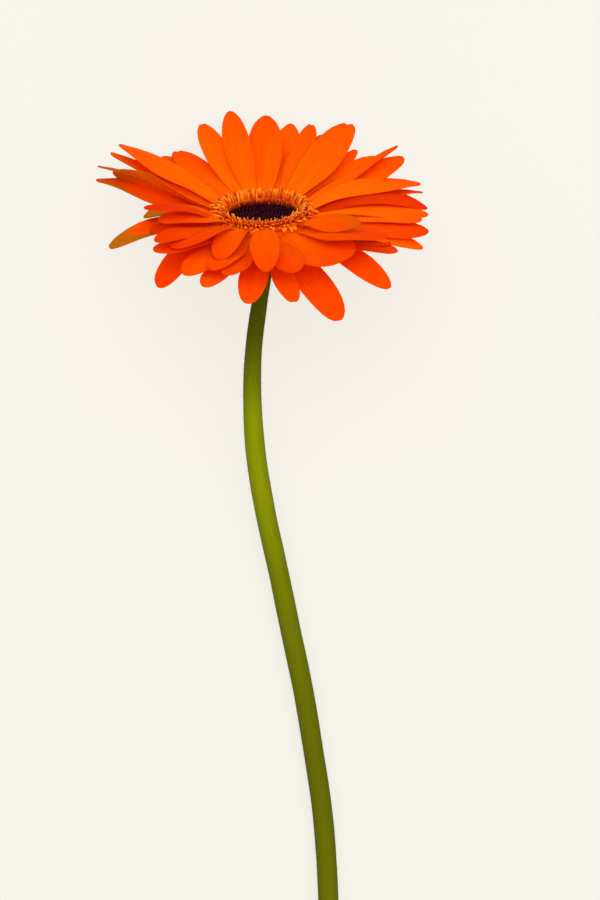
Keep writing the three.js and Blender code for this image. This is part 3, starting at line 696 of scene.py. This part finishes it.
def stemSkin():
    build = stemBuild
    centres, ways, sides, ups, radii = stemFrames()
    turn = np.linspace(0, 2 * math.pi, build["sides"], endpoint=False)[None, :]
    reach = np.concatenate([[0], np.cumsum(np.linalg.norm(np.diff(centres, axis=0), axis=1))])[:, None]
    ribs = np.cos(build["ribs"] * turn + 0.01 * reach) + 0.6 * np.cos(4 * turn + 1.3)
    swell = 1 + 0.008 * np.sin(0.09 * reach + 1) + 0.006 * np.sin(0.31 * reach)
    size = (radii[:, None] * (1 + build["ribDepth"] * ribs) * swell)[..., None]
    outward = sides[:, None] * np.sin(turn)[..., None] - ups[:, None] * np.cos(turn)[..., None]
    rings = centres[:, None] + outward * size
    rings[-1] += build["cutSlant"] * radii[-1] * np.sin(turn[0])[:, None] * ways[-1]
    face = [centres[-1] + (rings[-1] - centres[-1]) * share + ways[-1] * push
            for share, push in build["cutFace"]]
    points, faces = loft(np.concatenate([rings, np.stack(face)]))
    cut = np.zeros(len(points))
    cut[len(rings) * build["sides"]:] = 1
    loops = len(rings) + len(face)
    return points, faces, {
        "below": headPlace["centre"][1] - points[:, 1],
        "around": np.cos(np.tile(turn[0] * 0.8, loops)),
        "flank": build["sideShadeShare"] * np.tile(np.abs(np.sin(turn[0])) ** 2.5, loops),
        "cutFace": cut,
    }


def seatBody():
    # the receptacle, turned in the head's frame and moved to the table's
    points, faces = loft(headToTable(turned(stemBuild["receptacle"], 64)))
    return points, faces, {"below": 18.0, "around": 0.0, "flank": 0.2, "cutFace": 0.0}


hairBuild = {
    "count": 5200, "length": 0.7, "lengths": (0.5, 1.3), "radius": 0.03, "stray": 0.25,
    "clear": 0.1,  # no hair reaches lower than this above the table
    "colours": [(0.0, "#8F9640"), (1.0, "#B4BA70")],
    "spot": 3.33,  # mm
    "shader": {"Roughness": 0.6, "IOR": 1.4, "Specular IOR Level": 0.3},
}


def stemHairs():
    build, parts = hairBuild, []
    centres, ways, sides, ups, radii = stemFrames()
    for k in range(build["count"]):
        at = int(draw.uniform(8, len(centres) - 2))
        turn = draw.uniform(0, 2 * math.pi)
        out = sides[at] * math.sin(turn) - ups[at] * math.cos(turn)
        root = centres[at] + ways[at] * draw.uniform(-1, 1) + out * radii[at] * 0.99
        lean = out + draw.normal(0, build["stray"], 3)
        tip = root + lean * build["length"] * draw.uniform(*build["lengths"])
        if tip[2] < build["clear"]:
            continue
        flat = np.cross(out, ways[at])
        foot = [root + (flat * math.cos(a) + ways[at] * math.sin(a)) * build["radius"]
                for a in (0, 2.09, 4.19)]
        faces = [[2, 1, 0], [0, 1, 3], [1, 2, 3], [2, 0, 3]]
        parts.append((np.array(foot + [tip]), faces, {"along": 0.5, "tone": 0.5}))
    return parts


print("drawing the stem")
makePiece("stemSkin", [stemSkin(), seatBody()], downyStem(), ["stem"], inHead=False)
# plant down: fine pale hairs that soften the edge of the green
makePiece("stemHairs", stemHairs(), flowerPart("plantDown", hairBuild), inHead=False)

studio = {
    # places and sizes in metres, power in watts
    "tableColour": "#6C6B68", "tableSize": 8, "grain": 3.85,  # grain in mm
    "glowColour": "#FAF7EE", "glow": 0.78,
    "worldColour": "#FFFDF8", "worldStrength": 0.86,
    "key": {"place": (-0.1, 0.5, 1.3), "size": 1.2, "power": 7.6},
    "fill": {"place": (0.7, 0.0, 1.2), "size": 1.2, "power": 3.6},
    "lens": 120, "sensor": 36,
    "camera": (12.33, -78.67, 1000),  # millimetres from the head's centre, looking straight down
}


def setTable():
    # matt acrylic panel lit from below: an even warm white that takes hardly any shadow
    material, tree = newMaterial("litAcrylic")
    grain = addNode(tree, "TexNoise", {}, {
        "Vector": addNode(tree, "TexCoord")["Object"], "Scale": 1000 / studio["grain"], "Detail": 2.0})
    finishMaterial(tree, linear(studio["tableColour"]), grain[0], 0.01, {
        "Roughness": 0.9, "Specular IOR Level": 0.1,
        "Emission Color": linear(studio["glowColour"]), "Emission Strength": studio["glow"]})
    half = studio["tableSize"] / 2
    mesh = bpy.data.meshes.new("table")
    corners = [(-half, -half, 0), (half, -half, 0), (half, half, 0), (-half, half, 0)]
    mesh.from_pydata(corners, [], [(0, 1, 2, 3)])
    mesh.materials.append(material)
    table = bpy.data.objects.new("table", mesh)
    bpy.context.scene.collection.objects.link(table)


def setLights():
    world = bpy.data.worlds.new("studio")
    world.use_nodes = True
    sky = world.node_tree.nodes["Background"].inputs
    sky["Color"].default_value = linear(studio["worldColour"])
    sky["Strength"].default_value = studio["worldStrength"]
    bpy.context.scene.world = world
    for name in ("key", "fill"):
        lamp = bpy.data.lights.new(name, "AREA")
        lamp.shape, lamp.size, lamp.energy = "DISK", studio[name]["size"], studio[name]["power"]
        holder = bpy.data.objects.new(name, lamp)
        holder.location = studio[name]["place"]
        aim = Vector(headPlace["centre"]) / 1000 - holder.location
        holder.rotation_euler = aim.to_track_quat("-Z", "Y").to_euler()
        bpy.context.scene.collection.objects.link(holder)


def setCamera():
    camera = bpy.data.cameras.new("camera")
    camera.lens, camera.sensor_width = studio["lens"], studio["sensor"]
    camera.clip_start, camera.clip_end = 0.05, 20
    holder = bpy.data.objects.new("camera", camera)
    holder.location = (Vector(headPlace["centre"]) + Vector(studio["camera"])) / 1000
    bpy.context.scene.collection.objects.link(holder)
    bpy.context.scene.camera = holder
    bpy.context.scene.view_settings.view_transform = "Standard"


print("setting the table, the lights and the camera")
setTable()
setLights()
setCamera()
